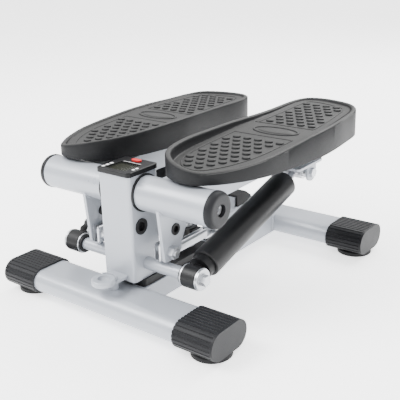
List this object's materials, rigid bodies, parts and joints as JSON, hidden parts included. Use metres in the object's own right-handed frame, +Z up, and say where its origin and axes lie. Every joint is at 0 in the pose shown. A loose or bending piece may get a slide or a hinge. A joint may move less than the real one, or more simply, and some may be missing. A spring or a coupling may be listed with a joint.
{
  "type": "stepper",
  "caption": "Compact home stepper with two pedals on one front axle, hydraulic cylinders, a balance rocker and a small counter.",
  "frame": {"origin": "on the floor, under the middle of the bounding box", "axes": "+Y towards the rear, along the pedals; +X to the right of the user; +Z up"},
  "size_m": [0.3276, 0.38, 0.1974],
  "materials": {
    "frame_paint": "light silver-grey powder coat, satin",
    "black_steel": "black powder coat, satin",
    "zinc": "bright zinc plate",
    "axle_steel": "turned bright steel",
    "cap_plastic": "dark grey moulded plastic, fine texture",
    "foot_rubber": "black rubber",
    "pedal_plastic": "charcoal moulded plastic, fine texture",
    "bush_plastic": "black nylon",
    "cover_plastic": "black satin plastic sleeve",
    "black_rubber": "black rubber",
    "bezel_plastic": "black ABS, semi gloss",
    "lens_clear": "clear window",
    "lcd_olive": "olive grey liquid crystal cell",
    "board_green": "green solder mask",
    "cell_steel": "nickel plated cell",
    "button_red": "red silicone key"
  },
  "bodies": {
    "frame": {"axle_bolts": "zinc", "axle_caps": "cap_plastic", "band_anchor_plate": "frame_paint", "band_anchor_ring": "frame_paint", "base_block": "black_steel", "base_end_caps": "cap_plastic", "battery_cover": "bush_plastic", "centre_beam": "frame_paint", "circuit_board": "board_green", "counter_battery": "cell_steel", "display_housing": "bezel_plastic", "display_lens": "lens_clear", "front_base_tube": "frame_paint", "lcd_panel": "lcd_olive", "lower_cross_bar": "frame_paint", "lower_eye_bolts": "zinc", "pivot_axle": "axle_steel", "rear_base_tube": "frame_paint", "reed_sensor": "bush_plastic", "rocker_pin": "zinc", "rubber_feet": "foot_rubber", "rubber_stops": "black_rubber", "stop_bracket": "frame_paint", "thrust_rings": "bush_plastic", "upright_plugs": "bush_plastic", "upright_post": "frame_paint", "washers": "zinc"},
    "reset_button": {"reset_button": "button_red"},
    "balance_rocker": {"balance_rocker": "black_steel", "rocker_tip_pins": "zinc"},
    "right_step": {"right_pivot_sleeve": "frame_paint", "right_sleeve_bushes": "bush_plastic", "right_link_lug": "frame_paint", "right_lug_plug": "bush_plastic", "right_pedal_arm": "frame_paint", "right_cylinder_top_bolt": "zinc", "right_link_bolt": "zinc", "right_pedal": "pedal_plastic", "right_pedal_screws": "zinc"},
    "right_link": {"right_link": "zinc"},
    "right_cylinder": {"right_cylinder_body": "black_steel", "right_cylinder_cover": "cover_plastic", "right_cylinder_head": "black_steel", "right_lower_eye_bush": "black_rubber"},
    "right_rod": {"right_piston_rod": "axle_steel"},
    "left_step": {"left_pivot_sleeve": "frame_paint", "left_sleeve_bushes": "bush_plastic", "left_link_lug": "frame_paint", "left_lug_plug": "bush_plastic", "left_pedal_arm": "frame_paint", "left_cylinder_top_bolt": "zinc", "left_link_bolt": "zinc", "left_pedal": "pedal_plastic", "left_pedal_screws": "zinc"},
    "left_link": {"left_link": "zinc"},
    "left_cylinder": {"left_cylinder_body": "black_steel", "left_cylinder_cover": "cover_plastic", "left_cylinder_head": "black_steel", "left_lower_eye_bush": "black_rubber"},
    "left_rod": {"left_piston_rod": "axle_steel"}
  },
  "joints": [
    {"name": "right_step_swing", "type": "hinge", "parent": "frame", "child": "right_step", "pos_m": [0, -0.127, 0.1448], "axis": [1, 0, 0], "range_deg": [-11.7, 10.3]},
    {"name": "left_step_swing", "type": "hinge", "parent": "frame", "child": "left_step", "pos_m": [0, -0.127, 0.1448], "axis": [1, 0, 0], "range_deg": [-10.3, 11.7]},
    {"name": "rocker_swing", "type": "hinge", "parent": "frame", "child": "balance_rocker", "pos_m": [0, -0.031, 0.06], "axis": [0, 0, 1], "range_deg": [-16.14, 14.23]},
    {"name": "right_link_level", "type": "hinge", "parent": "right_step", "child": "right_link", "pos_m": [0, -0.12623, 0.082], "axis": [1, 0, 0], "range_deg": [-10.3, 11.7]},
    {"name": "right_cylinder_tilt", "type": "hinge", "parent": "frame", "child": "right_cylinder", "pos_m": [0, -0.127, 0.0605], "axis": [1, 0, 0], "range_deg": [-10.79, 9.52]},
    {"name": "right_rod_slide", "type": "slide", "parent": "right_cylinder", "child": "right_rod", "axis": [0, 0.9619, 0.2735], "range_m": [-0.01663, 0.01466]},
    {"name": "left_link_level", "type": "hinge", "parent": "left_step", "child": "left_link", "pos_m": [0, -0.12777, 0.082], "axis": [1, 0, 0], "range_deg": [-11.7, 10.3]},
    {"name": "left_cylinder_tilt", "type": "hinge", "parent": "frame", "child": "left_cylinder", "pos_m": [0, -0.127, 0.0605], "axis": [1, 0, 0], "range_deg": [-9.52, 10.79]},
    {"name": "left_rod_slide", "type": "slide", "parent": "left_cylinder", "child": "left_rod", "axis": [0, 0.9677, 0.2522], "range_m": [-0.01466, 0.01663]},
    {"name": "reset_button_press", "type": "slide", "parent": "frame", "child": "reset_button", "axis": [0, 0, -1], "range_m": [0, 0.0012], "stiffness_N_per_m": 900}
  ],
  "couplings": [
    {"joint": "left_step_swing", "follows": "right_step_swing", "ratio": -1},
    {"joint": "rocker_swing", "follows": "right_step_swing", "ratio": 1.3622},
    {"joint": "right_link_level", "follows": "right_step_swing", "ratio": -1},
    {"joint": "right_cylinder_tilt", "follows": "right_step_swing", "ratio": 0.90522},
    {"joint": "right_rod_slide", "follows": "right_step_swing", "m_per_rad": 0.080965},
    {"joint": "left_link_level", "follows": "right_step_swing", "ratio": 1},
    {"joint": "left_cylinder_tilt", "follows": "right_step_swing", "ratio": -0.90522},
    {"joint": "left_rod_slide", "follows": "right_step_swing", "m_per_rad": -0.080965}
  ]
}
